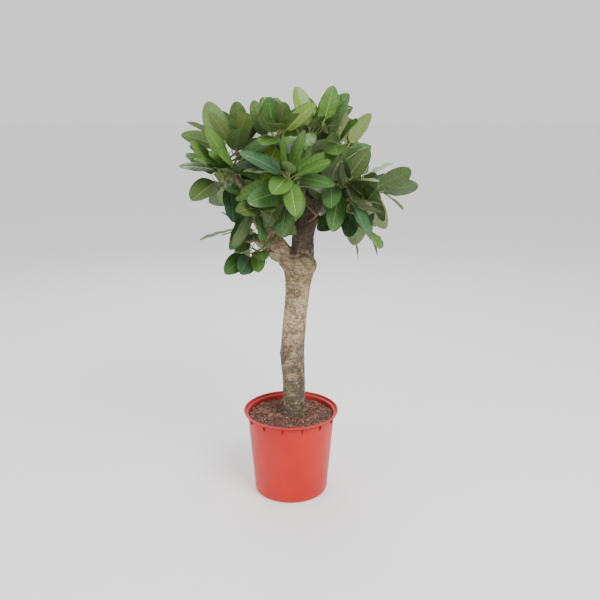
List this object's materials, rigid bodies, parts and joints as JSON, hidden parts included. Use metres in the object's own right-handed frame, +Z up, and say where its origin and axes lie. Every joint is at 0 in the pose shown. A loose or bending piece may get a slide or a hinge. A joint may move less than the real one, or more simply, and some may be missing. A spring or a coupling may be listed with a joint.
{
  "type": "potted banyan tree",
  "caption": "Small standard tree in a round nursery pot: a thick forked trunk and a loose crown of large oval leaves.",
  "frame": {"origin": "middle of the pot's flat underside, on the surface that the plant stands on", "axes": "+Z up, towards the crown's top; -Y towards the viewer of the pictured front; +X to that viewer's right"},
  "size_m": [0.7833, 0.6755, 1.4295],
  "materials": {
    "pot": "semi-gloss moulded",
    "soil": "loose bark compost",
    "bark": "smooth mottled bark",
    "leaf": "satin leaf"
  },
  "bodies": {
    "root": {"pot": "pot", "soil": "soil", "trunk": "bark", "bough_right": "bark", "bough_left": "bark", "branch_right": "bark", "branch_left": "bark", "branch_lower_left": "bark", "branch_lower_right": "bark", "branch_upper_right": "bark", "branch_upper_left": "bark", "branch_top_left": "bark", "branch_top_right": "bark", "branch_front": "bark", "branch_front_left": "bark", "branch_front_right": "bark", "branch_back_left": "bark", "branch_back_right": "bark", "branch_back_top": "bark", "branch_low_left": "bark", "foliage_right": "leaf", "foliage_left": "leaf", "foliage_lower_left": "leaf", "foliage_lower_right": "leaf", "foliage_upper_right": "leaf", "foliage_upper_left": "leaf", "foliage_top_left": "leaf", "foliage_top_right": "leaf", "foliage_front": "leaf", "foliage_front_left": "leaf", "foliage_front_right": "leaf", "foliage_back_left": "leaf", "foliage_back_right": "leaf", "foliage_back_top": "leaf", "foliage_low_left": "leaf"}
  },
  "joints": []
}
